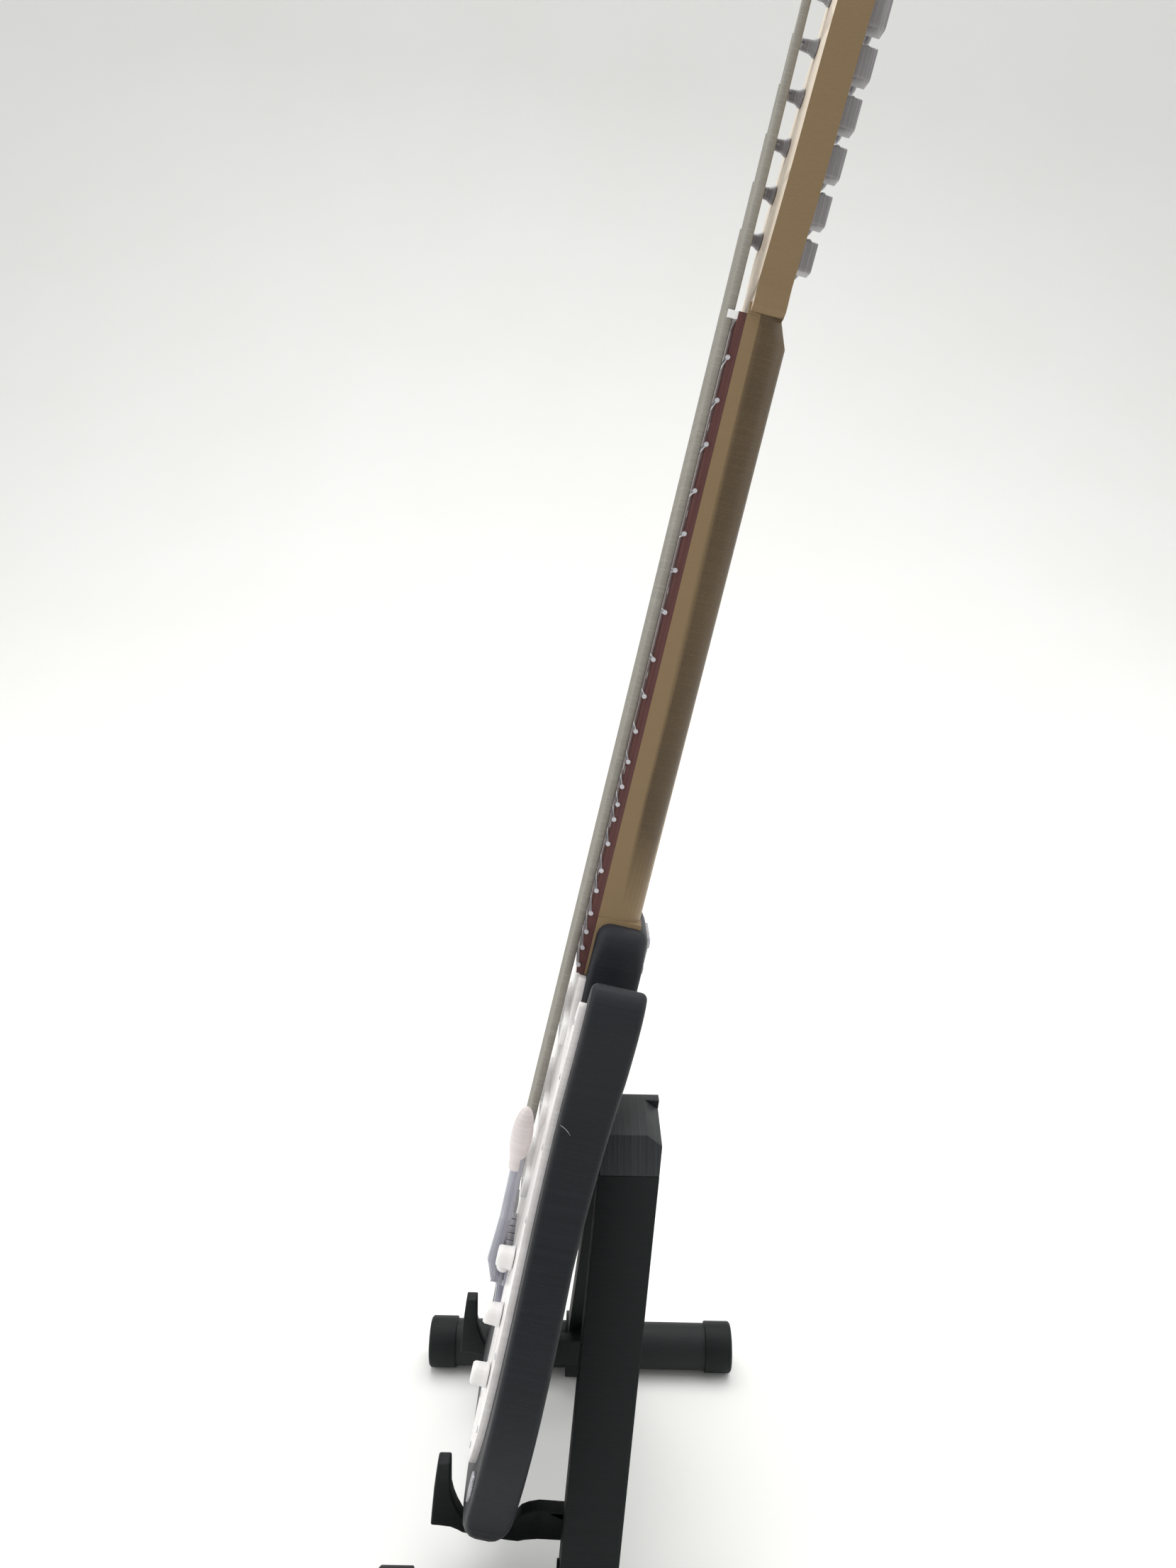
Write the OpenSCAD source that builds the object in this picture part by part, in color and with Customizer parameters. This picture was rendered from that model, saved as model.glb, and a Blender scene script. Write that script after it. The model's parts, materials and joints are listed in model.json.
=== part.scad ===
// Printed miniature electric guitar leaning in an A-frame stand.
// Row frame: +Z up, guitar front faces -Y, treble side +X, floor at Z = 0.
// Guitar pieces are drawn in the guitar's own frame: X across, -Y out of the front, Z up the neck.

/* [Pose on the stand] */
// Y of the middle of the stand, which centres the whole object on the origin
stand_y = -5.6; // [-20:0.1:10]
// lean of the guitar back from upright, degrees
lean = 12.3; // [5:0.1:20]
// Y of the guitar datum (body reference plane at the bridge level) from the stand's middle
guitar_y = -7.7; // [-20:0.1:10]
// height of the guitar datum above the floor
guitar_z = 63.4; // [50:0.1:90]

/* [Guitar body] */
// front face of the body, measured out from the datum plane
body_front = 2.5; // [1.5:0.1:4]
// thickness of the body's lower half
body_thick = 7.8; // [6:0.1:14]
// extra thickness behind the horns
horn_extra = 1.5; // [0:0.1:3]
// rounding of the body's side edges
body_round = 1.1; // [0.4:0.1:2]
// rounding of the body's lower end
end_round = 3.5; // [1:0.1:3.8]
// thickness of the pickguard
guard_thick = 1.25; // [0.6:0.05:2]

/* [Neck and strings] */
// level of the nut along the neck
nut_u = 161.8; // [150:0.1:180]
// lower end of the fretboard and of the neck heel
heel_u = 46.4; // [40:0.1:60]
// half width of the neck at the nut
neck_half_nut = 5.25; // [4:0.05:7]
// half width of the neck at the heel
neck_half_heel = 7; // [5:0.05:9]
// back of the neck, measured from the datum plane (behind is negative)
neck_back = -5; // [-7:0.1:-3]
// glue plane between neck and fretboard
board_base = 2.95; // [2:0.05:4]
// thickness of the fretboard
board_thick = 1.4; // [0.8:0.05:2]
// radius of a fret and of its bead end
fret_r = 0.4; // [0.2:0.05:0.6]
// underside of the strings above the datum plane
string_low = 5.15; // [4.8:0.05:6]
// depth of a string
string_deep = 1.5; // [0.6:0.1:2]
// width of a string
string_wide = 0.85; // [0.4:0.05:1.2]

/* [Headstock] */
// thickness of the headstock
head_thick = 5.6; // [4:0.1:8]
// front face of the headstock at the nut
head_front = 2.85; // [1:0.05:3]
// turn of the headstock about the neck, front towards the treble side, degrees
head_turn = 3.5; // [0:0.1:6]
// backward tilt of the headstock, degrees
head_tilt = 0.9; // [0:0.1:12]
// level of the first tuner post
post_u = 176.2; // [170:0.1:190]
// spacing of the tuner posts along the neck
post_step = 7.1; // [5:0.05:9]

/* [Bridge and controls] */
// level of the string saddles
saddle_u = -12; // [-25:0.5:0]
// diameter of a control knob
knob_d = 4.1; // [3:0.1:8]
// height of a control knob above the pickguard
knob_h = 2.85; // [2:0.05:5]
// running clearance of turning shafts, per side
run_gap = 0.05; // [0.01:0.01:0.1]

/* [Stand] */
// height of the stand's top
stand_top = 79.8; // [60:0.1:120]
// half distance between the two foot tubes
foot_x = 35; // [20:0.5:60]
// half length of a foot tube with its end caps
foot_half = 34.4; // [20:0.2:60]
// radius of a foot end cap
cap_r = 5.45; // [3:0.05:9]
// radius of the foot tube
tube_r = 4.95; // [3:0.05:8]
// width of a leg at its lower end, front to back
leg_wide = 9.9; // [6:0.1:16]
// extra width of a leg at its top
leg_flare = 1.06; // [0:0.02:3]
// thickness of a leg, side to side
leg_thick = 8; // [4:0.1:12]
// distance of a cradle arm from the middle
cradle_x = 23.8; // [15:0.1:40]
// thickness of a cradle arm, side to side
cradle_thick = 3; // [2:0.1:8]

/* [Hidden] */

body_back = body_front - body_thick;
heel_back = body_back - horn_extra;
guard_front = body_front + guard_thick;
board_front = board_base + board_thick;
nut_pitch = 1.72;
saddle_pitch = 2.5;
fret_u = [30, 58, 87, 118, 147, 172, 201, 234, 260, 285, 307, 325, 338, 349, 367, 387, 402, 419, 433, 445, 458];
knob_at = [[20, -3], [23.9, -11.6], [28.4, -20.2]];
arm_at = [10.6, -13];
tip_at = [15, 17.4, 7.35];
lever_at = [16.6, -7];
lever_pivot = 1.9;
jack_at = [36.4, -35.2];
head_back = head_front - head_thick;
hole_gap = 0.04;
shaft_w = head_back - 2.6;
shaft_rise = -0.4;
tube_z = cap_r - 0.25;
leg_x = [foot_x, 8.19];
leg_y = [1.4, 8.21];
leg_z = [4.6, 73];
screw_at = [[22.9, 43.4], [22, 33], [22.4, 20], [25.6, 8], [33, -13], [33.2, -27], [26.6, -35.6], [20.6, -30],
    [15.2, -18], [-15.4, -6.4], [-19.8, 3.5], [-20.6, 15], [-18.4, 30], [-19.6, 40.6]];

// curve through control points --------------------------------------------------------------
function cr(a, b, c, d, t) =
    0.5 * ((2 * b) + (c - a) * t + (2 * a - 5 * b + 4 * c - d) * t * t + (3 * b - a - 3 * c + d) * t * t * t);
function curve(p, n) =
    let (m = len(p))
    [for (i = [0 : m - 1], k = [0 : n - 1]) cr(p[(i + m - 1) % m], p[i], p[(i + 1) % m], p[(i + 2) % m], k / n)];
function unit(v) = v / norm(v);
function inset(p, d) =
    let (m = len(p))
    [for (i = [0 : m - 1]) let (t = unit(p[(i + 1) % m] - p[(i + m - 1) % m])) p[i] + d * [-t[1], t[0]]];

function string_v(k, u) =
    let (s = (k - 2.5) * saddle_pitch, n = (k - 2.5) * nut_pitch)
    s + (n - s) * (u - saddle_u) / (nut_u - saddle_u);
function neck_half(u) = neck_half_heel + (neck_half_nut - neck_half_heel) * (u - heel_u) / (nut_u - heel_u);
function post_level(k) = post_u + k * post_step;
function head_v(k) = (string_v(k, post_level(k)) - string_low * sin(head_turn)) / cos(head_turn);

// body outline, treble side first, split where the back face changes slope
low_right = [[0, -52.4], [12, -52.3], [22, -51.7], [29.5, -49.9], [35.2, -46], [39.6, -39], [42.2, -29.5],
    [42.4, -19], [40, -9], [36.4, -0.6]];
mid_right = [[33.6, 5], [31, 10.8], [28.9, 17], [27.6, 24], [27.2, 31.5]];
horns = [[27.9, 38], [28.8, 44], [28.4, 49.2], [26.4, 51.9], [23.5, 50.8], [21.5, 46.4], [19.2, 41.2], [16, 38.5],
    [13, 39.6], [11.4, 43], [10.7, 48], [10.2, 52.8], [8.6, 56.2], [5, 56.9], [0, 56.9], [-5, 56.9], [-8.8, 56.2],
    [-10.4, 52.8], [-11, 48.5], [-12.1, 45.2], [-14.6, 43.4], [-17.2, 45.2], [-19.2, 49.4], [-21.6, 56.4],
    [-24.4, 62.8], [-27.8, 67.2], [-31, 66.4], [-32.4, 61.6], [-31.5, 53.5], [-29.7, 45]];
mid_left = [[-28.7, 38], [-28.4, 31], [-29, 24], [-30.6, 17.4], [-33, 11]];
low_left = [[-35.7, 5], [-38.8, -2.4], [-41.6, -11], [-43, -20], [-42.6, -29.5], [-40, -38.5], [-35.6, -45.4],
    [-29.6, -49.6], [-21.6, -51.7], [-11.5, -52.3]];
body_pts = concat(low_right, mid_right, horns, mid_left, low_left);

guard_pts = [[0, 46.2], [7, 46.2], [9.4, 45.8], [11, 40.9], [13, 37.6], [16, 36.5], [19, 38.9], [21.2, 43.6],
    [23.6, 47.4], [25.3, 46.2], [25.2, 41], [24.2, 34], [23.4, 28], [23.8, 20], [25.4, 12], [28.2, 4],
    [31.6, -4], [34.4, -12], [35.8, -20], [34.8, -28],
    [31.8, -34.4], [27, -37.7], [22.4, -36.2], [19, -31], [16.4, -24.5], [14.4, -19], [12.9, -14], [12.4, -9],
    [10.2, -7.2], [0, -7], [-10.2, -7.2], [-13.4, -8.6], [-17, -7], [-20.5, 0], [-22.4, 8], [-22, 17], [-20.2, 26],
    [-20, 34], [-21.6, 40.5], [-20, 43.6], [-17, 42.4], [-14.4, 41], [-12.2, 42], [-9.4, 45.6], [-7, 46.2]];

head_pts = [[5.4, 163], [5.6, 168], [6.6, 173.6], [7.8, 180], [8.6, 188], [9.2, 197], [10.2, 206], [12, 213],
    [12.6, 219], [10.6, 223.4], [6.6, 224.2], [3, 221.4], [1.2, 217.6], [0, 212], [-1.6, 204], [-3.2, 196],
    [-4.8, 188], [-6.2, 181], [-7.2, 176], [-7, 171.6], [-5.8, 167.6], [-5.4, 163]];

// placement ---------------------------------------------------------------------------------
module on_guitar() {
    translate([0, stand_y + guitar_y, guitar_z])
        rotate([-lean, 0, 0])
            children();
}

module on_stand() {
    translate([0, stand_y, 0])
        children();
}

// 2D outline in (across, up the neck), thickened from level a to level b out of the front
module plate(a, b) {
    translate([0, -a, 0])
        rotate([90, 0, 0])
            linear_extrude(b - a)
                children();
}

// round rod pointing out of the front, from level a to level b
module rod(at, a, b, r1, r2) {
    translate([at[0], -a, at[1]])
        rotate([90, 0, 0])
            cylinder(h = b - a, r1 = r1, r2 = r2, $fn = r1 < 0.5 ? 24 : 48);
}

module on_head() {
    rotate([0, 0, head_turn])
        translate([0, -head_front, 163])
            rotate([-head_tilt, 0, 0])
                translate([0, head_front, -163])
                    children();
}

// solid through loops of equal length, the first loop at the back (+Y), closed by the given end faces
module loft(loops, first) {
    n = len(loops[0]);
    m = len(loops);
    sides = [for (j = [0 : m - 2], i = [0 : n - 1])
        [j * n + i, (j + 1) * n + i, (j + 1) * n + (i + 1) % n, j * n + (i + 1) % n]];
    last = [[for (i = [n - 1 : -1 : 0]) (m - 1) * n + i]];
    polyhedron([for (l = loops, q = l) q], concat(first, sides, last), convexity = 10);
}

// body --------------------------------------------------------------------------------------
function ramp(u, a, b) = min(1, max(0, (u - a) / (b - a)));
function back_level(u) = body_back - horn_extra * ramp(u, 5, 37);
function edge_round(q) =
    body_round + (end_round - body_round) * ramp(-q[1], 40, 49)
    + (abs(q[0]) < 12 ? 1.3 * ramp(q[1], 50, 54) : 0);

// one loop of the body's edge: a = 90 on the flat face, 0 on the side
function body_loop(p, a, front) =
    let (m = len(p))
    [for (i = [0 : m - 1])
        let (t = unit(p[(i + 1) % m] - p[(i + m - 1) % m]), r = edge_round(p[i]),
            q = p[i] + r * (1 - cos(a)) * [-t[1], t[0]], d = r * (1 - sin(a)))
        [q[0], front ? d - body_front : -back_level(q[1]) - d, q[1]]];

module body_shell() {
    k = 3;
    p = curve(body_pts, k);
    n = len(p);
    arcs = [90, 67.5, 45, 22.5, 0];
    a1 = k * len(low_right);
    a2 = a1 + k * len(mid_right);
    b2 = a2 + k * len(horns);
    b1 = b2 + k * len(mid_left);
    low = [for (i = [b1 : n + a1]) i % n];
    middle = [for (i = [0 : a2 - a1 - 1])
        each [[a1 + i, a1 + i + 1, b1 - i - 1], [a1 + i, b1 - i - 1, b1 - i]]];
    top = [for (i = [a2 : b2]) i];
    loft(concat([for (a = arcs) body_loop(p, a, false)], [for (i = [4 : -1 : 0]) body_loop(p, arcs[i], true)]),
        concat([low], middle, [top]));
}

module body() {
    color("#3c3e44")
        on_guitar()
            difference() {
                body_shell();
                neck_pocket();
                plate(body_front - 1.6, body_front + 1) translate([lever_at[0] - 1.2, lever_at[1] - 2.2])
                    square([2.4, 4.4]);
                for (k = knob_at) rod(k, body_front - 1.5, body_front + 1, 0.9, 0.9);
                rod(arm_at, body_front - 2, body_front + 1, 0.9, 0.9);
                neck_screw_rods(hole_gap);
                rod(jack_at, body_front - 2.5, body_front + 1, 0.8, 0.8);
                strap_pins(hole_gap);
                guard_screw_rods(hole_gap);
            }
}

module neck_pocket() {
    translate([-neck_half_heel, -6, heel_u])
        cube([2 * neck_half_heel, 6 - neck_back, 20]);
}

// neck --------------------------------------------------------------------------------------
function back_depth(u) = u < 159 ? neck_back : neck_back + (u - 159) * 0.42;
function half_section(u, n) =
    let (h = neck_half(u), b = back_depth(u), f = board_base)
    concat([[-h, -f, u], [h, -f, u]],
        [for (i = [0 : n]) let (a = 180 * i / n)
            [h * sign(cos(a)) * pow(abs(cos(a)), 0.62), -(0.6 + (b - 0.6) * pow(sin(a), 0.8)), u]]);

module neck_shaft() {
    n = 18;
    levels = [57, 80, 110, 140, 152, 159, 161, 163, 164.4];
    s = [for (u = levels) half_section(u, n)];
    c = len(s[0]);
    points = [for (r = s, q = r) q];
    sides = [for (j = [0 : len(levels) - 2], i = [0 : c - 1])
        [j * c + i, (j + 1) * c + i, (j + 1) * c + (i + 1) % c, j * c + (i + 1) % c]];
    caps = [[for (i = [0 : c - 1]) i], [for (i = [c - 1 : -1 : 0]) (len(levels) - 1) * c + i]];
    polyhedron(points, concat(caps, sides), convexity = 6);
}

module neck() {
    color("#7a6448")
        on_guitar()
            difference() {
                union() {
                    neck_shaft();
                    translate([-neck_half_heel, -board_base, heel_u])
                        cube([2 * neck_half_heel, board_base - neck_back, 57.5 - heel_u]);
                    on_head() plate(head_front - head_thick, head_front) polygon(curve(head_pts, 4));
                    translate([-5.3, -board_base, 159])
                        cube([10.6, 2, 3.4]);
                }
                for (k = [0 : 5]) post_bore(k);
                neck_screw_rods();
            }
}

module post_bore(k) {
    on_head()
        rod([head_v(k), post_level(k)], -12, 8, 0.95 + run_gap, 0.95 + run_gap);
}

// fretboard, frets, dots, nut ---------------------------------------------------------------
module fret_bars() {
    for (f = fret_u)
        let (u = nut_u + 0.7 - f / 4)
            translate([-neck_half(u) - 0.3, -board_front, u])
                rotate([0, 90, 0])
                    cylinder(h = 2 * neck_half(u) + 0.6, r = fret_r, $fn = 32);
}

module fretboard() {
    color("#73413f")
        on_guitar()
            difference() {
                plate(board_base, board_front)
                    polygon([[-neck_half_heel, heel_u], [neck_half_heel, heel_u],
                        [neck_half_nut, nut_u + 0.7], [-neck_half_nut, nut_u + 0.7]]);
                fret_bars();
                dot_rods();
            }
}

module frets() {
    color("#c8c8cf")
        on_guitar()
            fret_bars();
}

module dot_rods() {
    mid = [2, 4, 6, 8, 14, 16, 18, 20];
    for (i = mid)
        rod([0, nut_u + 0.7 - (fret_u[i] + fret_u[i - 1]) / 8], board_front - 0.3, board_front, 0.7, 0.7);
    for (s = [-1, 1])
        rod([2.4 * s, nut_u + 0.7 - (fret_u[11] + fret_u[10]) / 8], board_front - 0.3, board_front, 0.7, 0.7);
}

module inlays() {
    color("#e9e6e0")
        on_guitar()
            dot_rods();
}

module nut() {
    color("#f1f1f1")
        on_guitar()
            difference() {
                translate([-neck_half_nut, -6.1, nut_u - 0.6])
                    cube([2 * neck_half_nut, 6.1 - board_front, 1.25]);
                for (k = [0 : 5]) string_rod(k);
            }
}

// pickguard and electrics -------------------------------------------------------------------
module pickguard() {
    color("#f2eeee")
        on_guitar()
            difference() {
                plate(body_front, guard_front) polygon(curve(guard_pts, 4));
                for (u = [36, 20, 4]) pickup_hole(u);
                for (k = knob_at) rod(k, 0, 8, 0.6 + run_gap, 0.6 + run_gap);
                plate(0, 8) translate([lever_at[0] - 0.6, lever_at[1] - 1.7]) square([1.2, 3.4]);
                guard_screw_rods();
                plate(0, 8) translate([-12.1, -21]) square([24.2, 12.6]);
            }
}

module guard_screw_rods(grow = 0) {
    for (s = screw_at) {
        rod(s, body_front - 1.2 - grow, guard_front, 0.3 + grow, 0.3 + grow);
        rod(s, guard_front - 0.4, guard_front + 0.1, 0.55 + grow, 0.55 + grow);
    }
}

module pickguard_screws() {
    color("#b9b9c2")
        on_guitar()
            difference() {
                guard_screw_rods();
                for (s = screw_at)
                    translate([s[0] - 0.09, -guard_front - 1, s[1] - 0.4])
                        cube([0.18, 1.05, 0.8]);
            }
}

function pickup_turn(u) = u < 10 ? 9 : 0;

module pickup_2d(grow) {
    hull()
        for (s = [-1, 1])
            translate([s * 9.2, 0])
                circle(r = 2.5 + grow, $fn = 32);
}

module pickup_hole(u) {
    plate(0, 8)
        translate([0, u])
            rotate(pickup_turn(u))
                pickup_2d(0.1);
}

module pickup(u) {
    color("#ececee")
        on_guitar() {
            difference() {
                plate(body_front, 4.7) translate([0, u]) rotate(pickup_turn(u)) pickup_2d(0);
                for (k = [0 : 5]) rod(pole_at(u, k), 4.3, 9, 0.45, 0.45);
            }
            for (k = [0 : 5]) rod(pole_at(u, k), 4.3, 4.85, 0.45, 0.45);
        }
}

function pole_at(u, k) =
    let (v = string_v(k, u), a = pickup_turn(u))
    [v, u + v * tan(a)];

module pickup_neck() {
    pickup(36);
}

module pickup_middle() {
    pickup(20);
}

module pickup_bridge() {
    pickup(4);
}

module knob(at) {
    color("#f3f3f3")
        on_guitar()
            translate([at[0], 0, at[1]])
                rotate([90, 0, 0])
                    difference() {
                        union() {
                            translate([0, 0, guard_front + 0.15])
                                rotate_extrude($fn = 64)
                                    polygon([[0, 0], [knob_d / 2, 0], [knob_d / 2, 0.5], [knob_d / 2 - 0.12, 0.7],
                                        [knob_d / 2 - 0.2, knob_h - 0.35], [knob_d / 2 - 0.45, knob_h],
                                        [0, knob_h]]);
                            translate([0, 0, body_front - 1.2])
                                cylinder(h = guard_thick + 1.4, r = 0.6, $fn = 48);
                        }
                        translate([-0.15, 0.5, guard_front + knob_h])
                            cube([0.3, 3, 1]);
                        for (a = [0 : 30 : 359])
                            rotate(a + 15)
                                translate([knob_d / 2 + 0.12, 0, guard_front + 1.1])
                                    cylinder(h = 4, r = 0.3, $fn = 16);
                    }
}

module knob_volume() {
    knob(knob_at[0]);
}

module knob_tone_upper() {
    knob(knob_at[1]);
}

module knob_tone_lower() {
    knob(knob_at[2]);
}

module selector_lever() {
    color("#a5a5ad")
        on_guitar()
            difference() {
                union() {
                    rod(lever_at, lever_pivot, 5, 0.35, 0.35);
                    translate([lever_at[0] - 1.1, -lever_pivot, lever_at[1]])
                        rotate([0, 90, 0])
                            cylinder(h = 2.2, r = 0.5, $fn = 48);
                }
                selector_ball();
            }
}

module selector_ball() {
    translate([lever_at[0], -5.15, lever_at[1]])
        sphere(r = 1.15, $fn = 40);
}

module selector_tip() {
    color("#f3f3f3")
        on_guitar()
            selector_ball();
}

// bridge ------------------------------------------------------------------------------------
module bridge_plate() {
    color("#9a9aa6")
        on_guitar()
            difference() {
                union() {
                    plate(body_front, 3.3) translate([-11.8, -20.4]) square([23.6, 11.8]);
                    plate(body_front, 4.6) translate([-8.6, -20.4]) square([17.2, 1]);
                    rod(arm_at, body_front, 4.1, 1.7, 1.6);
                }
                rod(arm_at, 0, 8, 0.6 + run_gap, 0.6 + run_gap);
            }
}

module saddles() {
    color("#b3b3bd")
        on_guitar()
            for (k = [0 : 5])
                let (v = string_v(k, saddle_u))
                    difference() {
                        translate([v - 1.1, -string_low, saddle_u - 5])
                            cube([2.2, string_low - 3.3, 6.6]);
                        translate([v - 0.35, -string_low - 1, saddle_u - 4.2])
                            cube([0.7, 1.6, 2]);
                    }
}

module tremolo_arm() {
    color("#9494a8")
        on_guitar()
            difference() {
                union() {
                    rod(arm_at, body_front - 1.6, 5.2, 0.6, 0.6);
                    translate([arm_at[0], -5.2 - 0.9, arm_at[1]])
                        rotate([90, 0, 0])
                            translate([0, 0, -1.7])
                                cylinder(h = 2, r1 = 1.15, r2 = 1.3, $fn = 40);
                    arm_bar([arm_at[0], arm_at[1], 5.6], [arm_at[0] + 0.3, -9.6, 6.8]);
                    arm_bar([arm_at[0] + 0.3, -9.6, 6.8], [12, 0, 6.5]);
                    arm_bar([12, 0, 6.5], [tip_at[0], tip_at[1] - 3, tip_at[2] - 0.4]);
                }
                tip_shape();
            }
}

module arm_bar(a, b) {
    hull() {
        translate([a[0], -a[2], a[1]])
            sphere(r = 1.15, $fn = 32);
        translate([b[0], -b[2], b[1]])
            sphere(r = 1.1, $fn = 32);
    }
}

module tip_shape() {
    translate([tip_at[0], -tip_at[2], tip_at[1]])
        rotate([2, 6, 0]) {
            scale([1, 1, 3.1])
                sphere(r = 1.93, $fn = 48);
            translate([0, 0, -6.6])
                cylinder(h = 3, r1 = 1.2, r2 = 1.45, $fn = 48);
        }
}

module arm_tip() {
    color("#f5f5f5")
        on_guitar()
            tip_shape();
}

// strings -----------------------------------------------------------------------------------
// the head's turn tips the row of strings: rise of string k at its post, none at the saddles
function string_rise(k, u) =
    let (b = post_level(k) + 1.2)
    -string_v(k, b) * sin(head_turn) * (u - saddle_u) / (b - saddle_u);

module string_rod(k) {
    hull()
        for (u = [saddle_u - 1.5, post_level(k) + 1.2])
            translate([string_v(k, u), -string_low - string_deep / 2 - string_rise(k, u), u])
                scale([string_wide, string_deep, 1])
                    cylinder(h = 0.01, r = 0.5, $fn = 20);
}

module one_string(k) {
    color("#979284")
        on_guitar()
            string_rod(k);
}

module string_1() {
    one_string(0);
}

module string_2() {
    one_string(1);
}

module string_3() {
    one_string(2);
}

module string_4() {
    one_string(3);
}

module string_5() {
    one_string(4);
}

module string_6() {
    one_string(5);
}

// tuners ------------------------------------------------------------------------------------
module housing(k) {
    u = post_level(k);
    v = head_v(k);
    on_head()
        difference() {
            union() {
                plate(head_back - 3.7, head_back)
                    translate([v - 1.9, u - 3.1])
                        offset(r = 0.5, $fn = 16) translate([0.5, 0.5]) square([2.8, 4]);
                translate([v, -head_back + 2.2, u + 1.9])
                    sphere(r = 0.75, $fn = 32);
            }
            rod([v, u], head_back - 1.3, head_back + 1, 0.95 + run_gap, 0.95 + run_gap);
            translate([v - 4, -shaft_w, u + shaft_rise])
                rotate([0, 90, 0])
                    cylinder(h = 4.6, r = 0.5 + run_gap, $fn = 48);
        }
}

module tuner_housings() {
    color("#8c8488")
        on_guitar()
            for (k = [0 : 5])
                housing(k);
}

module post(k) {
    u = post_level(k);
    v = head_v(k);
    t = string_low - 0.12 + (u - 163) * tan(head_tilt);
    color("#948c92")
        on_guitar()
            on_head()
                translate([v, 0, u])
                    rotate([90, 0, 0])
                        difference() {
                            union() {
                                translate([0, 0, head_back - 1.2])
                                    cylinder(h = head_thick + 1.4, r = 0.95, $fn = 48);
                                translate([0, 0, head_front + 0.12])
                                    rotate_extrude($fn = 48)
                                        polygon([[0, 0], [1.5, 0], [1.45, 0.25], [1.05, 0.95],
                                            [0.9, t - head_front - 0.2], [0, t - head_front - 0.2]]);
                            }
                            translate([-2, -0.14, t - 0.5])
                                cube([4, 0.28, 1]);
                        }
}

module post_1() {
    post(0);
}

module post_2() {
    post(1);
}

module post_3() {
    post(2);
}

module post_4() {
    post(3);
}

module post_5() {
    post(4);
}

module post_6() {
    post(5);
}

module button(k) {
    color("#8c8488")
        on_guitar()
            on_head()
                translate([head_v(k), -shaft_w, post_level(k) + shaft_rise])
                    rotate([0, -90, 0]) {
                        translate([0, 0, -0.5])
                            cylinder(h = 6.2, r = 0.5, $fn = 48);
                        translate([0, 0, 5])
                            cylinder(h = 0.7, r1 = 0.9, r2 = 0.7, $fn = 32);
                        translate([0, 0, 7.2])
                            scale([1, 0.42, 0.95])
                                sphere(r = 2, $fn = 32);
                    }
}

module button_1() {
    button(0);
}

module button_2() {
    button(1);
}

module button_3() {
    button(2);
}

module button_4() {
    button(3);
}

module button_5() {
    button(4);
}

module button_6() {
    button(5);
}

// small fittings ----------------------------------------------------------------------------
module jack_plate() {
    color("#b0b0b8")
        on_guitar()
            difference() {
                plate(body_front, body_front + 0.5)
                    translate(jack_at)
                        rotate(-20)
                            scale([1, 1.7])
                                circle(r = 1.9, $fn = 40);
                rod(jack_at, 0, 8, 0.8, 0.8);
            }
}

module strap_pins(grow = 0) {
    translate([0, -body_front + body_thick / 2, -54.4])
        cylinder(h = 3.6 + grow, r = 0.6 + grow, $fn = 48);
    horn_button()
        cylinder(h = 3.6 + grow, r = 0.6 + grow, $fn = 48);
}

module horn_button() {
    translate([-28.9, -body_front + body_thick / 2, 64.8])
        rotate([0, -24, 0])
            children();
}

module strap_buttons() {
    color("#b0b0b8")
        on_guitar() {
            strap_pins();
            translate([0, -body_front + body_thick / 2, -55.2])
                cylinder(h = 0.9, r = 1.5, $fn = 40);
            horn_button()
                translate([0, 0, 3.5])
                    cylinder(h = 0.9, r = 1.5, $fn = 40);
        }
}

module neck_plate_2d() {
    translate([-5, heel_u + 0.9])
        square([10, 7.6]);
}

neck_screw_at = [for (v = [-3.6, 3.6], u = [2.2, 7.2]) [v, heel_u + u]];
plate_back = heel_back - 0.5;

module neck_screw_rods(grow = 0) {
    for (s = neck_screw_at)
        rod(s, plate_back + 0.2, -1.6, 0.45 + grow, 0.45 + grow);
}

module neck_screw_heads() {
    for (s = neck_screw_at)
        rod(s, plate_back - 0.25, plate_back + 0.25, 0.8, 0.8);
}

module neck_plate() {
    color("#a8a8b0")
        on_guitar()
            difference() {
                plate(plate_back, heel_back) neck_plate_2d();
                neck_screw_rods();
                neck_screw_heads();
            }
}

module neck_screws() {
    color("#b9b9c2")
        on_guitar()
            difference() {
                union() {
                    neck_screw_rods();
                    neck_screw_heads();
                }
                for (s = neck_screw_at)
                    translate([s[0] - 0.6, -plate_back + 0.1, s[1] - 0.1])
                        cube([1.2, 1, 0.2]);
            }
}

// stand -------------------------------------------------------------------------------------
// one leg bar: slanted prism between the foot tube and the cap
module leg_bar(s) {
    t = leg_thick / 2;
    polyhedron(
        [for (i = [0, 1])
            each let (x = s * leg_x[i], y = leg_y[i], z = leg_z[i], h = (leg_wide + i * leg_flare) / 2)
            [[x - t, y - h, z], [x + t, y - h, z], [x + t, y + h, z], [x - t, y + h, z]]],
        [[0, 1, 2, 3], [4, 7, 6, 5], [0, 4, 5, 1], [1, 5, 6, 2], [2, 6, 7, 3], [3, 7, 4, 0]]);
}

module foot_axis(s) {
    translate([s * foot_x, 0, tube_z])
        rotate([-90, 0, 0])
            children();
}

module leg(s) {
    color("#383d40")
        on_stand() difference() {
            union() {
                leg_bar(s);
                difference() {
                    translate([s * foot_x, leg_y[0] - 4.8, tube_z])
                        rotate([-90, 0, 0])
                            cylinder(h = 9.6, r = 7, $fn = 64);
                    translate([s * foot_x - 10, -10, -10])
                        cube([20, 30, 10.5]);
                }
            }
            foot_axis(s)
                translate([0, 0, -40])
                    cylinder(h = 80, r = tube_r, $fn = 64);
            cradle_solid(s);
        }
}

module leg_right() {
    leg(1);
}

module leg_left() {
    leg(-1);
}

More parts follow.
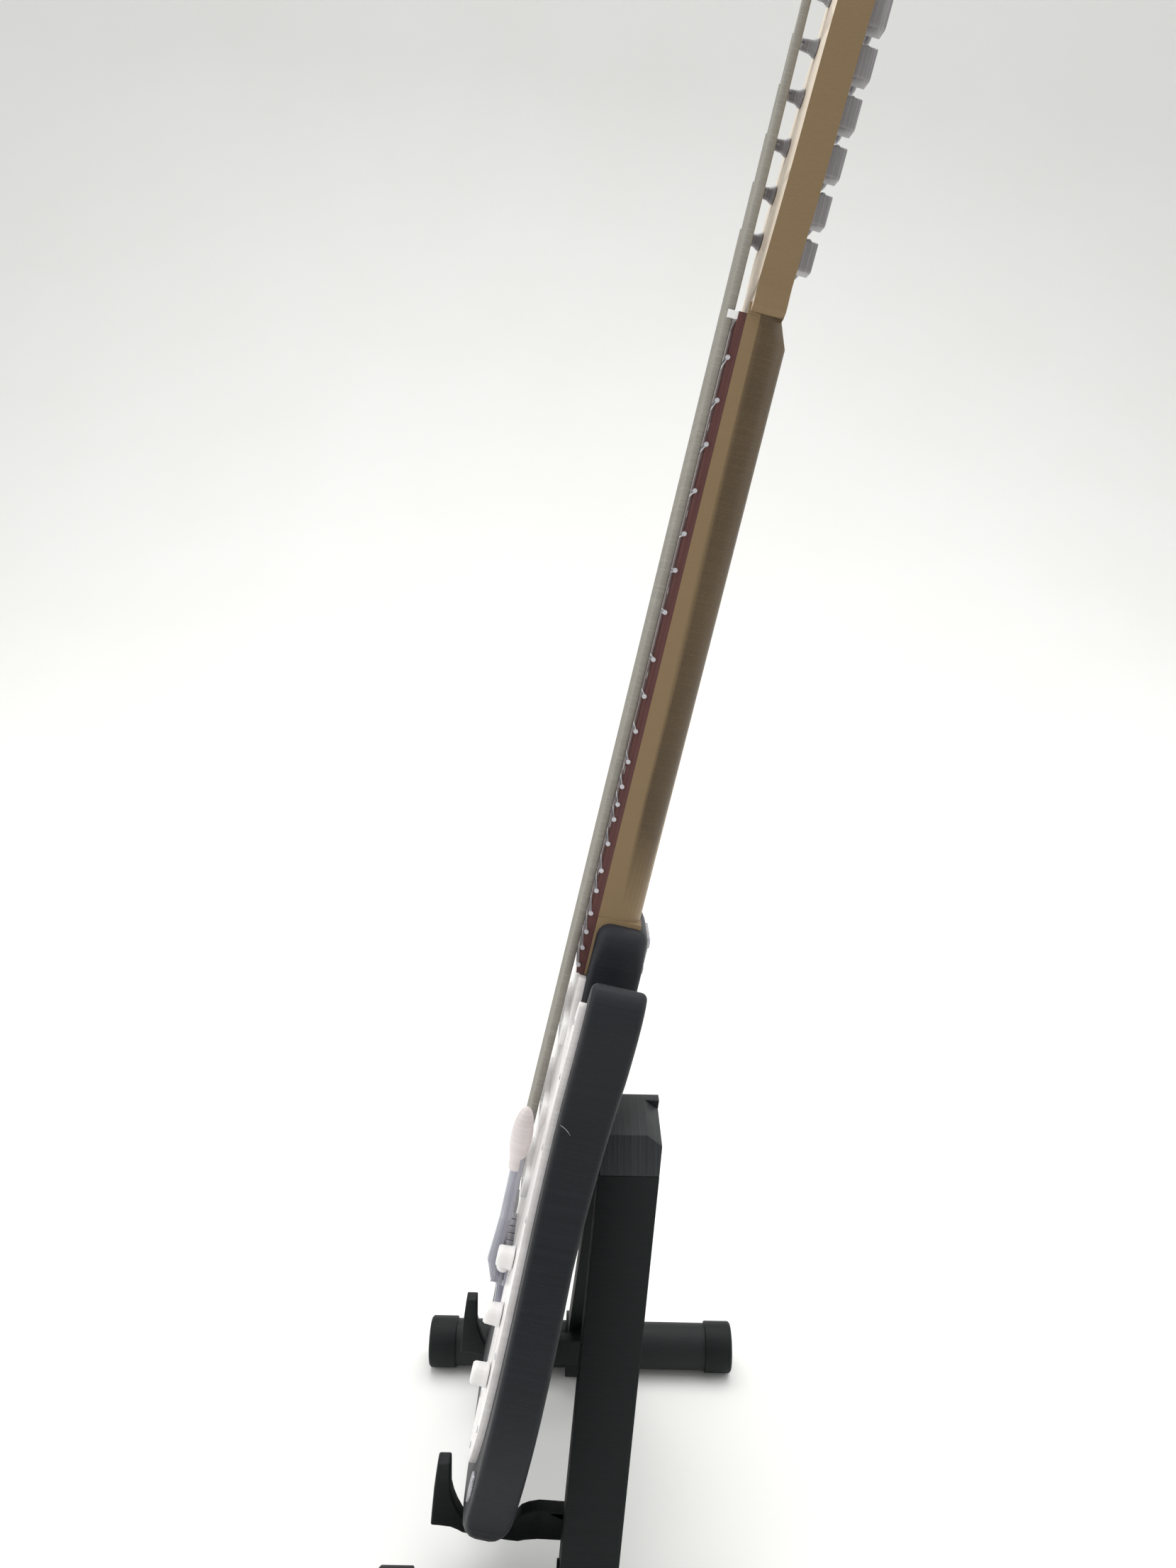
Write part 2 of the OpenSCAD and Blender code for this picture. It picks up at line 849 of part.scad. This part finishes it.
// block over the two leg tops, flush with their outer faces; its rear edge is cut off on one side
module stand_cap() {
    x = leg_x[1] + leg_thick / 2;
    y = [leg_y[1] - (leg_wide + leg_flare) / 2, leg_y[1] + (leg_wide + leg_flare) / 2];
    z = leg_z[1];
    color("#3b4043")
        on_stand() difference() {
            polyhedron(
                [[-x, y[0], z], [x, y[0], z], [x, y[1], z], [-x, y[1], z],
                    [-7.6, y[0] + 0.6, stand_top], [x - 2.7, y[0] + 0.6, stand_top],
                    [x - 2.7, y[1] + 0.7, stand_top], [-7.6, y[1] + 0.7, stand_top]],
                [[0, 1, 2, 3], [7, 6, 5, 4], [4, 5, 1, 0], [5, 6, 2, 1], [6, 7, 3, 2], [7, 4, 0, 3]]);
            translate([-5, 11.5, stand_top])
                rotate([-33, 0, 0])
                    cube([30, 10, 10]);
        }
}

// cradle arm: bar forward along the leg, dip under the body, upturned hook
cradle_pts = [[7, 9], [7, 14.8], [2, 14.8], [-1.8, 14.8], [-5, 15], [-6.9, 15.1], [-8.8, 14.7], [-10.1, 14.1],
    [-11.3, 12.7], [-12.4, 11.5], [-13.6, 11.7], [-15, 12], [-17.2, 12.1], [-19.2, 12.4], [-20.7, 13.3],
    [-21.7, 15.3], [-22.3, 17], [-22.73, 19], [-22.72, 24.4], [-24.98, 24.4], [-25.3, 22], [-25.64, 19.3],
    [-26, 15.5], [-26.31, 11.7], [-24.66, 11.6], [-22.75, 11.35], [-21.48, 10.8], [-20.59, 10.25], [-16, 9.4],
    [-12.43, 8.84], [-10.65, 8.66], [-9.38, 8.95], [-7.09, 9.2], [-3, 9.07]];

module cradle_solid(s) {
    if (s > 0) cradle_arm();
    else mirror([1, 0, 0]) cradle_arm();
}

module cradle_arm() {
    translate([cradle_x + cradle_thick / 2, 0, 0])
        rotate([90, 0, -90])
            linear_extrude(cradle_thick)
                mirror([1, 0])
                    polygon(cradle_pts);
    translate([cradle_x, -2.2, 9.8])
        cube([7, 7.6, 4.4]);
}

module cradle(s) {
    color("#383d40")
        on_stand()
            cradle_solid(s);
}

module cradle_right() {
    cradle(1);
}

module cradle_left() {
    cradle(-1);
}

module foot_tube(s) {
    color("#383d40")
        on_stand() difference() {
            foot_axis(s)
                translate([0, 0, -foot_half + 1])
                    cylinder(h = 2 * foot_half - 2, r = tube_r, $fn = 64);
            foot_axis(s)
                translate([0, 0, -foot_half])
                    cylinder(h = 2 * foot_half, r = 2.6, $fn = 48);
        }
}

module foot_right() {
    foot_tube(1);
}

module foot_left() {
    foot_tube(-1);
}

module foot_caps() {
    color("#33383b")
        on_stand() for (s = [-1, 1], e = [0, 180])
            difference() {
                foot_axis(s)
                    rotate([0, e, 0])
                        difference() {
                            union() {
                                translate([0, 0, foot_half - 6])
                                    cylinder(h = 5.6, r = cap_r, $fn = 64);
                                translate([0, 0, foot_half - 0.4])
                                    cylinder(h = 0.4, r1 = cap_r, r2 = cap_r - 0.4, $fn = 64);
                            }
                            translate([0, 0, foot_half - 7])
                                cylinder(h = 6, r = tube_r, $fn = 64);
                        }
                translate([s * foot_x - 10, -50, -10])
                    cube([20, 100, 10]);
            }
}

// assembly ----------------------------------------------------------------------------------
body();
neck();
fretboard();
frets();
inlays();
nut();
pickguard();
pickguard_screws();
pickup_neck();
pickup_middle();
pickup_bridge();
bridge_plate();
saddles();
string_1();
string_2();
string_3();
string_4();
string_5();
string_6();
tremolo_arm();
arm_tip();
knob_volume();
knob_tone_upper();
knob_tone_lower();
selector_lever();
selector_tip();
jack_plate();
strap_buttons();
neck_plate();
neck_screws();
tuner_housings();
post_1();
post_2();
post_3();
post_4();
post_5();
post_6();
button_1();
button_2();
button_3();
button_4();
button_5();
button_6();
stand_cap();
leg_right();
leg_left();
cradle_right();
cradle_left();
foot_right();
foot_left();
foot_caps();
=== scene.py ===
import json
import math
import bmesh
import bpy
from mathutils import Matrix, Vector


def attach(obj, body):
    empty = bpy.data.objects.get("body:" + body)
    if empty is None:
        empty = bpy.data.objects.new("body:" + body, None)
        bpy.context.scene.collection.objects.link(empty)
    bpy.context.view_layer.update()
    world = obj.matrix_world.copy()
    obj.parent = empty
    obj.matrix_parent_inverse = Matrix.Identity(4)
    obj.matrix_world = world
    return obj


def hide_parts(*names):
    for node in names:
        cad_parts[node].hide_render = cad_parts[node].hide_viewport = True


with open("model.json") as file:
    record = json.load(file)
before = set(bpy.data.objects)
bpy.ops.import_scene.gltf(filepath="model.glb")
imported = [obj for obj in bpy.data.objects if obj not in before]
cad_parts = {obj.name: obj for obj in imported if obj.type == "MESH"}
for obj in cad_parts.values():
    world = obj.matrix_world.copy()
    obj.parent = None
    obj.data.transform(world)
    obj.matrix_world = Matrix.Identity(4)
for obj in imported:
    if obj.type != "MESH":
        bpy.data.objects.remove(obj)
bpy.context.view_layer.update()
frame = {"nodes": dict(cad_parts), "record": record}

# directions: the row frame's axes, and the guitar's own at rest
X_AXIS = Vector((1, 0, 0))
Y_AXIS = Vector((0, 1, 0))
Z_AXIS = Vector((0, 0, 1))
LEAN = math.radians(12.3)
UP_NECK = Vector((0, math.sin(LEAN), math.cos(LEAN)))
OUT_FRONT = Vector((0, -math.cos(LEAN), math.sin(LEAN)))
ORIGIN = Vector((0, -0.0133, 0.0634))

# printing, in metres
LAYER = 0.0002
GUARD_PITCH = 0.00045

# how a CAD node's mesh is finished
WELD = 2e-6
FLAT_DEG = 0.3
SHARP_DEG = 38
SMOOTH_DEG = 32
BEVEL_STEPS = 3

# where a piece has a second material
HEAD_START = 162.8      # millimetres up the neck
FRONT_FACING = 0.9
LOOKS_UP = 0.3

# the stray fibre, in millimetres
FIBRE_RADIUS = 0.03
FIBRE_END = 0.45        # how much of the radius is left at its tips
FIBRE_SIDES = 8
FIBRE_PATH = [(28, 26.9, 2.2), (28, 26.85, 1.7), (28, 26.6, 1.2), (28, 26.2, 0.65), (28, 25.7, 0.15)]
BESIDE = 80             # a place well clear of the body, to look at its side from

# the backdrop, in metres: a floor that curves up into a wall
FLOOR_NEAR = 1.6
FLOOR_FAR = -0.5
CURVE = 0.9
WALL_TOP = 2.6
HALF_WIDTH = 2.4
CURVE_STEP = 6
BACKDROP_SMOOTH_DEG = 60

# the camera
CAMERA_AT = (0.2090, -0.0056, 0.1809)
LENS = 27.016
SENSOR = 36
NEAREST = 0.01
YAW, PITCH, ROLL = 0.003, -0.18, -0.019


def on_guitar(across, up, out):
    """A point given in the guitar's own frame, in millimetres, as a row-frame point in metres."""
    return ORIGIN + (X_AXIS * across + UP_NECK * up + OUT_FRONT * out) / 1000


# materials ---------------------------------------------------------------------------------
class Nodes:
    """A short way to write a material's node graph."""

    def __init__(self, name):
        self.mat = bpy.data.materials.new(name)
        self.mat.use_nodes = True
        self.tree = self.mat.node_tree
        self.bsdf = self.tree.nodes["Principled BSDF"]

    def put(self, socket, value):
        if isinstance(value, bpy.types.NodeSocket):
            self.tree.links.new(value, socket)
        else:
            socket.default_value = value

    def shade(self, socket_name, value):
        self.put(self.bsdf.inputs[socket_name], value)

    def node(self, kind, inputs=(), **settings):
        n = self.tree.nodes.new(kind)
        for k, v in settings.items():
            setattr(n, k, v)
        for key, value in dict(inputs).items():
            self.put(n.inputs[key], value)
        return n

    def calc(self, op, a, b=0.0):
        return self.node("ShaderNodeMath", {0: a, 1: b}, operation=op).outputs[0]

    def noise(self, vector, scale, detail=3.0, rough=0.55):
        inputs = {"Vector": vector, "Scale": scale, "Detail": detail, "Roughness": rough}
        return self.node("ShaderNodeTexNoise", inputs).outputs["Fac"]

    def ramp(self, fac, low, high, a, b):
        inputs = {"Value": fac, "From Min": low, "From Max": high, "To Min": a, "To Max": b}
        return self.node("ShaderNodeMapRange", inputs).outputs["Result"]

    def mix(self, fac, a, b):
        n = self.node("ShaderNodeMix", {"Factor": fac}, data_type="RGBA")
        self.put(n.inputs[6], a)
        self.put(n.inputs[7], b)
        return n.outputs[2]


def opaque(color, share=1.0):
    """A colour with each channel multiplied by share, and full alpha."""
    return tuple(c * share for c in color) + (1.0,)


def printed(name, color, light, rough=0.5, axis=UP_NECK, layers=0.5, grain=0.4, streak=0.35, edge=0.3,
            coat=0.0, specular=0.5, metallic=0.0, subsurface=0.0, painted_glints=0.0, pitch=LAYER):
    """Printed plastic: layer lines across the axis, streaks along them, fine grain, a painted highlight on
    sharp edges and, where asked, painted glints.
    """
    g = Nodes(name)
    place = g.node("ShaderNodeTexCoord").outputs["Object"]
    along = g.node("ShaderNodeVectorMath", {0: place, 1: axis}, operation="DOT_PRODUCT").outputs["Value"]
    wander = g.noise(place, 90.0, 2.0)
    phase = g.calc("ADD", g.calc("MULTIPLY", along, 2 * math.pi / pitch), g.calc("MULTIPLY", wander, 2.4))
    ridge = g.calc("MULTIPLY", g.calc("ADD", g.calc("SINE", phase), 1.0), 0.5)
    # streaks: noise squeezed along the layers, so that it varies from layer to layer
    layer_no = g.calc("MULTIPLY", along, 0.55 / pitch)
    drift = g.calc("MULTIPLY", g.noise(place, 22.0, 2.0), 3.0)
    squeezed = g.node("ShaderNodeCombineXYZ", {0: layer_no, 1: drift, 2: 0.0}).outputs[0]
    streaks = g.noise(squeezed, 1.0, 2.0, 0.6)
    fine = g.noise(place, 5200.0, 2.0, 0.7)
    broad = g.noise(place, 60.0, 3.0)
    base = g.mix(g.ramp(broad, 0.3, 0.7, 0.0, 0.55), opaque(color), opaque(color, 0.72))
    base = g.mix(g.ramp(streaks, 0.45, 0.75, 0.0, streak), base, opaque(light))
    base = g.mix(g.ramp(fine, 0.55, 0.8, 0.0, grain), base, opaque(light))
    # painted glints: near-white spots from a Voronoi pattern, mixed into the colour
    if painted_glints:
        cells = g.node("ShaderNodeTexVoronoi", {"Vector": place, "Scale": 2600.0}).outputs["Distance"]
        spots = g.ramp(cells, 0.12, 0.25, painted_glints, 0.0)
        base = g.mix(spots, base, (0.95, 0.93, 0.9, 1.0))
    # painted highlight: sharp edges, where pointiness is high, are mixed toward the lighter tone
    point = g.node("ShaderNodeNewGeometry").outputs["Pointiness"]
    base = g.mix(g.ramp(point, 0.52, 0.62, 0.0, edge), base, opaque(light))
    g.shade("Base Color", base)
    uneven = g.calc("ADD", g.calc("MULTIPLY", streaks, 0.6), g.calc("MULTIPLY", fine, 0.4))
    g.shade("Roughness", g.ramp(uneven, 0.3, 0.7, rough - 0.08, rough + 0.1))
    g.shade("Metallic", metallic)
    g.shade("Specular IOR Level", specular)
    g.shade("Coat Weight", coat)
    g.shade("Coat Roughness", 0.25)
    if subsurface:
        g.shade("Subsurface Weight", subsurface)
        g.shade("Subsurface Radius", (0.0012, 0.0011, 0.001))
        g.shade("Subsurface Scale", 1.0)
    height = g.calc("ADD", g.calc("MULTIPLY", ridge, layers), g.calc("MULTIPLY", fine, grain))
    height = g.calc("ADD", height, g.calc("MULTIPLY", streaks, layers * 0.8))
    bump = g.node("ShaderNodeBump", {"Height": height, "Strength": 0.35, "Distance": 0.00012})
    g.shade("Normal", bump.outputs[0])
    return g.mat


charcoal = printed("charcoal_print", (0.006, 0.0068, 0.0102), (0.055, 0.058, 0.072), 0.48,
                   layers=0.6, grain=0.12, streak=0.09, edge=0.5, specular=0.24)
gold_brown = printed("gold_brown_print", (0.078, 0.05, 0.023), (0.235, 0.16, 0.08), 0.44,
                     layers=0.3, grain=0.42, streak=0.1, edge=0.8, specular=0.35)
# the headstock face: a lighter colour painted as light falling on it, with painted glints
head_face_painted_light = printed("headstock_face_painted_light", (0.30, 0.235, 0.175), (0.74, 0.64, 0.52), 0.5, axis=OUT_FRONT,
                    layers=0.1, grain=1.0, streak=0.2, edge=0.9, painted_glints=0.8)
red_brown = printed("red_brown_print", (0.075, 0.022, 0.02), (0.2, 0.085, 0.075), 0.5, axis=OUT_FRONT,
                    layers=0.8, grain=0.3, streak=0.3, edge=0.4, specular=0.35)
silver = printed("silver_print", (0.42, 0.41, 0.45), (0.8, 0.79, 0.82), 0.28,
                 layers=0.2, grain=0.2, streak=0.2, edge=0.3, metallic=0.5)
white = printed("white_print", (0.83, 0.815, 0.81), (0.92, 0.91, 0.905), 0.36, axis=OUT_FRONT,
                layers=0.25, grain=0.12, streak=0.2, edge=0.1, subsurface=0.25, coat=0.1)
pink_white = printed("arm_tip_print", (0.66, 0.60, 0.595), (0.82, 0.79, 0.78), 0.34,
                     layers=0.3, grain=0.12, streak=0.3, edge=0.1, subsurface=0.15, coat=0.15)
guard_white = printed("pickguard_print", (0.79, 0.755, 0.75), (0.92, 0.9, 0.9), 0.3,
                      axis=X_AXIS + UP_NECK, pitch=GUARD_PITCH, layers=0.3, grain=0.1, streak=0.45,
                      edge=0.15, subsurface=0.2, coat=0.25)
blue_grey = printed("blue_grey_print", (0.30, 0.30, 0.36), (0.62, 0.63, 0.7), 0.3, axis=OUT_FRONT,
                    layers=0.5, grain=0.15, streak=0.4, edge=0.3, subsurface=0.3, coat=0.2)
grey = printed("grey_print", (0.16, 0.152, 0.165), (0.5, 0.48, 0.5), 0.34, axis=OUT_FRONT,
               layers=0.5, grain=0.2, streak=0.45, edge=0.7, coat=0.15)
olive = printed("string_print", (0.225, 0.21, 0.18), (0.44, 0.42, 0.37), 0.38,
                layers=0.5, grain=0.3, streak=0.25, edge=0.2)
stand_dark = printed("stand_print", (0.0055, 0.0075, 0.0082), (0.05, 0.056, 0.058), 0.56, axis=Z_AXIS,
                     layers=0.35, grain=0.12, streak=0.06, edge=0.25, specular=0.22)
# the cap's lighter colour is painted light: the stand's dark print as lit from above
cap_painted_lit = printed("stand_cap_painted_light", (0.013, 0.016, 0.018), (0.1, 0.108, 0.112), 0.5, axis=Y_AXIS,
                   layers=0.5, grain=0.25, streak=0.25, edge=0.35, specular=0.3)

# each node's material, and how far its sharp edges are broken, in millimetres
LOOKS = {
    "neck": (gold_brown, 0.22),
    "body": (charcoal, 0.0),
    "fretboard": (red_brown, 0.08),
    "frets": (silver, 0.0),
    "inlays": (white, 0.0),
    "nut": (white, 0.12),
    "pickguard": (guard_white, 0.14),
    "pickguard_screws": (silver, 0.03),
    "bridge_plate": (blue_grey, 0.12),
    "saddles": (silver, 0.15),
    "tremolo_arm": (blue_grey, 0.0),
    "arm_tip": (pink_white, 0.0),
    "selector_lever": (silver, 0.0),
    "selector_tip": (white, 0.0),
    "jack_plate": (silver, 0.1),
    "strap_buttons": (charcoal, 0.1),
    "neck_plate": (silver, 0.1),
    "neck_screws": (silver, 0.04),
    "tuner_housings": (grey, 0.2),
    "stand_cap": (cap_painted_lit, 0.2),
    "foot_caps": (stand_dark, 0.15),
}
for place in ("neck", "middle", "bridge"):
    LOOKS["pickup_" + place] = (white, 0.12)
for use in ("volume", "tone_upper", "tone_lower"):
    LOOKS["knob_" + use] = (white, 0.06)
for k in range(1, 7):
    LOOKS["string_%d" % k] = (olive, 0.0)
    LOOKS["post_%d" % k] = (grey, 0.05)
    LOOKS["button_%d" % k] = (grey, 0.0)
for hand in ("right", "left"):
    LOOKS["leg_" + hand] = (stand_dark, 0.22)
    LOOKS["cradle_" + hand] = (stand_dark, 0.6)
    LOOKS["foot_" + hand] = (stand_dark, 0.0)

BODY_OF = {n: b for b, nodes in frame["record"]["behaviour"]["bodies"].items() for n in nodes}


# the pieces --------------------------------------------------------------------------------
def finish_mesh(bm, name, smooth_deg=SMOOTH_DEG):
    """An object from a bmesh, shaded smooth across edges that bend less than smooth_deg."""
    for e in bm.edges:
        e.smooth = len(e.link_faces) == 2 and e.calc_face_angle(4.0) < math.radians(smooth_deg)
    for f in bm.faces:
        f.smooth = True
    mesh = bpy.data.meshes.new(name)
    bm.to_mesh(mesh)
    bm.free()
    obj = bpy.data.objects.new(name, mesh)
    bpy.context.scene.collection.objects.link(obj)
    return obj


def is_sharp(edge):
    return len(edge.link_faces) == 2 and edge.calc_face_angle(0.0) > math.radians(SHARP_DEG)


def skin(node, material, bevel_mm):
    """A finished copy of a CAD node: welded, its sharp edges broken, smooth where it is round."""
    src = frame["nodes"][node]
    bm = bmesh.new()
    bm.from_mesh(src.data)
    bmesh.ops.remove_doubles(bm, verts=bm.verts, dist=WELD)
    if bevel_mm:
        bmesh.ops.dissolve_limit(bm, angle_limit=math.radians(FLAT_DEG), verts=bm.verts, edges=bm.edges)
        bmesh.ops.bevel(bm, geom=[e for e in bm.edges if is_sharp(e)], offset=bevel_mm / 1000,
                        segments=BEVEL_STEPS, profile=0.5, affect="EDGES", clamp_overlap=True)
    bmesh.ops.triangulate(bm, faces=[f for f in bm.faces if len(f.verts) > 4])
    obj = finish_mesh(bm, node + "_skin")
    obj.data.materials.append(material)
    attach(obj, BODY_OF[node])
    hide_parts(node)
    return obj


skins = {node: skin(node, *LOOKS[node]) for node in frame["nodes"]}


def second_material(node, material, belongs):
    """Gives the faces that belong to it a second material."""
    mesh = skins[node].data
    mesh.materials.append(material)
    for poly in mesh.polygons:
        if belongs(poly):
            poly.material_index = 1


def on_head_front(poly):
    up_mm = (Vector(poly.center) - ORIGIN).dot(UP_NECK) * 1000
    return poly.normal.dot(OUT_FRONT) > FRONT_FACING and up_mm > HEAD_START


def turned_from_light(poly):
    return poly.normal.z < LOOKS_UP


# the headstock's front face has a rougher surface than the rest of the neck, painted lighter as painted
# light where it faces the light
second_material("neck", head_face_painted_light, on_head_front)

# the cap's print is painted lighter than the stand's, as painted light on the faces that look up; faces
# turned from the light get the stand's own darker print
second_material("stand_cap", stand_dark, turned_from_light)


# a stray printing fibre that clings to the treble side of the body, as a thin bent thread
def thread(name, path, radius_mm, sides):
    bm = bmesh.new()
    centres = [on_guitar(*p) for p in path]
    last = len(centres) - 1
    rings = []
    for i, c in enumerate(centres):
        ahead = (centres[min(i + 1, last)] - centres[max(i - 1, 0)]).normalized()
        side = ahead.cross(X_AXIS).normalized()
        other = ahead.cross(side)
        r = radius_mm / 1000 * (FIBRE_END if i in (0, last) else 1.0)
        turn = [2 * math.pi * k / sides for k in range(sides)]
        rings.append([bm.verts.new(c + side * (r * math.cos(t)) + other * (r * math.sin(t))) for t in turn])
    for a, b in zip(rings, rings[1:]):
        for k in range(sides):
            bm.faces.new((a[k], a[(k + 1) % sides], b[(k + 1) % sides], b[k]))
    bm.faces.new(rings[0][::-1])
    bm.faces.new(rings[-1])
    return finish_mesh(bm, name)


def to_side(path, clear_mm):
    """Moves a path's points across until they lie just off the body's treble side."""
    tree = bpy.context.evaluated_depsgraph_get()
    body = skins["body"].evaluated_get(tree)
    out = []
    for across, up, front in path:
        hit, where, _, _ = body.ray_cast(on_guitar(BESIDE, up, front), -X_AXIS)
        out.append((where.x * 1000 + clear_mm if hit else across, up, front))
    return out


fibre = thread("stray_fibre", to_side(FIBRE_PATH, FIBRE_RADIUS), FIBRE_RADIUS, FIBRE_SIDES)
fibre.data.materials.append(white)
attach(fibre, "guitar")


# the stage ---------------------------------------------------------------------------------
def strip(name, points, half_width, smooth_deg):
    """A sheet swept sideways (along Y) from a side profile of (x, z) points."""
    bm = bmesh.new()
    near, far = [[bm.verts.new((x, y, z)) for x, z in points] for y in (-half_width, half_width)]
    for i in range(len(points) - 1):
        bm.faces.new((near[i], near[i + 1], far[i + 1], far[i]))
    return finish_mesh(bm, name, smooth_deg)


def backdrop_profile():
    points = [(FLOOR_NEAR, 0.0), (FLOOR_FAR, 0.0)]
    for degrees in range(CURVE_STEP, 91, CURVE_STEP):
        a = math.radians(degrees)
        points.append((FLOOR_FAR - CURVE * math.sin(a), CURVE - CURVE * math.cos(a)))
    return points + [(FLOOR_FAR - CURVE, WALL_TOP)]


def paper_material():
    g = Nodes("paper")
    place = g.node("ShaderNodeTexCoord").outputs["Object"]
    patches = g.ramp(g.noise(place, 6.0), 0.3, 0.7, 0.0, 1.0)
    g.shade("Base Color", g.mix(patches, (0.88, 0.88, 0.865, 1), (0.9, 0.9, 0.89, 1)))
    g.shade("Roughness", 0.9)
    g.shade("Specular IOR Level", 0.1)
    return g.mat


backdrop = strip("backdrop", backdrop_profile(), HALF_WIDTH, BACKDROP_SMOOTH_DEG)
backdrop.data.materials.append(paper_material())

world = bpy.data.worlds.new("light_tent")
world.use_nodes = True
sky = world.node_tree.nodes["Background"].inputs
sky["Color"].default_value = (0.975, 0.98, 0.97, 1)
sky["Strength"].default_value = 0.66
bpy.context.scene.world = world


def panel(name, place, target, size, watts, color=(1, 1, 1)):
    """A soft rectangular light at place, turned to the target."""
    light = bpy.data.lights.new(name, "AREA")
    light.shape = "RECTANGLE"
    light.size, light.size_y = size
    light.energy = watts
    light.color = color
    obj = bpy.data.objects.new(name, light)
    obj.location = place
    obj.rotation_euler = (Vector(target) - Vector(place)).to_track_quat("-Z", "Y").to_euler()
    bpy.context.scene.collection.objects.link(obj)


panel("top_panel", (-0.15, 0.05, 1.0), (0, 0, 0.1), (1.1, 1.1), 9.0, (1.0, 0.995, 0.98))
panel("front_panel", (0.2, -0.9, 0.45), (0, 0, 0.12), (0.7, 0.7), 3.2)
panel("back_panel", (0.1, 0.95, 0.5), (0, 0, 0.12), (0.6, 0.8), 2.2)


# the camera --------------------------------------------------------------------------------
def camera_turn(yaw, pitch, roll):
    """The turn of a camera that looks along -X, then yaws, pitches and rolls about its own axes."""
    fwd, right, up = -X_AXIS, Y_AXIS, Z_AXIS
    spin = Matrix.Rotation(yaw, 3, up)
    fwd, right = spin @ fwd, spin @ right
    spin = Matrix.Rotation(pitch, 3, right)
    fwd, up = spin @ fwd, spin @ up
    spin = Matrix.Rotation(roll, 3, fwd)
    right, up = spin @ right, spin @ up
    return Matrix((right, up, -fwd)).transposed().to_4x4()


cam_data = bpy.data.cameras.new("camera")
cam_data.lens = LENS
cam_data.sensor_fit = "AUTO"
cam_data.sensor_width = SENSOR
cam_data.clip_start = NEAREST
camera = bpy.data.objects.new("camera", cam_data)
camera.matrix_world = Matrix.Translation(CAMERA_AT) @ camera_turn(YAW, PITCH, ROLL)
bpy.context.scene.collection.objects.link(camera)
bpy.context.scene.camera = camera
bpy.context.scene.view_settings.view_transform = "Standard"
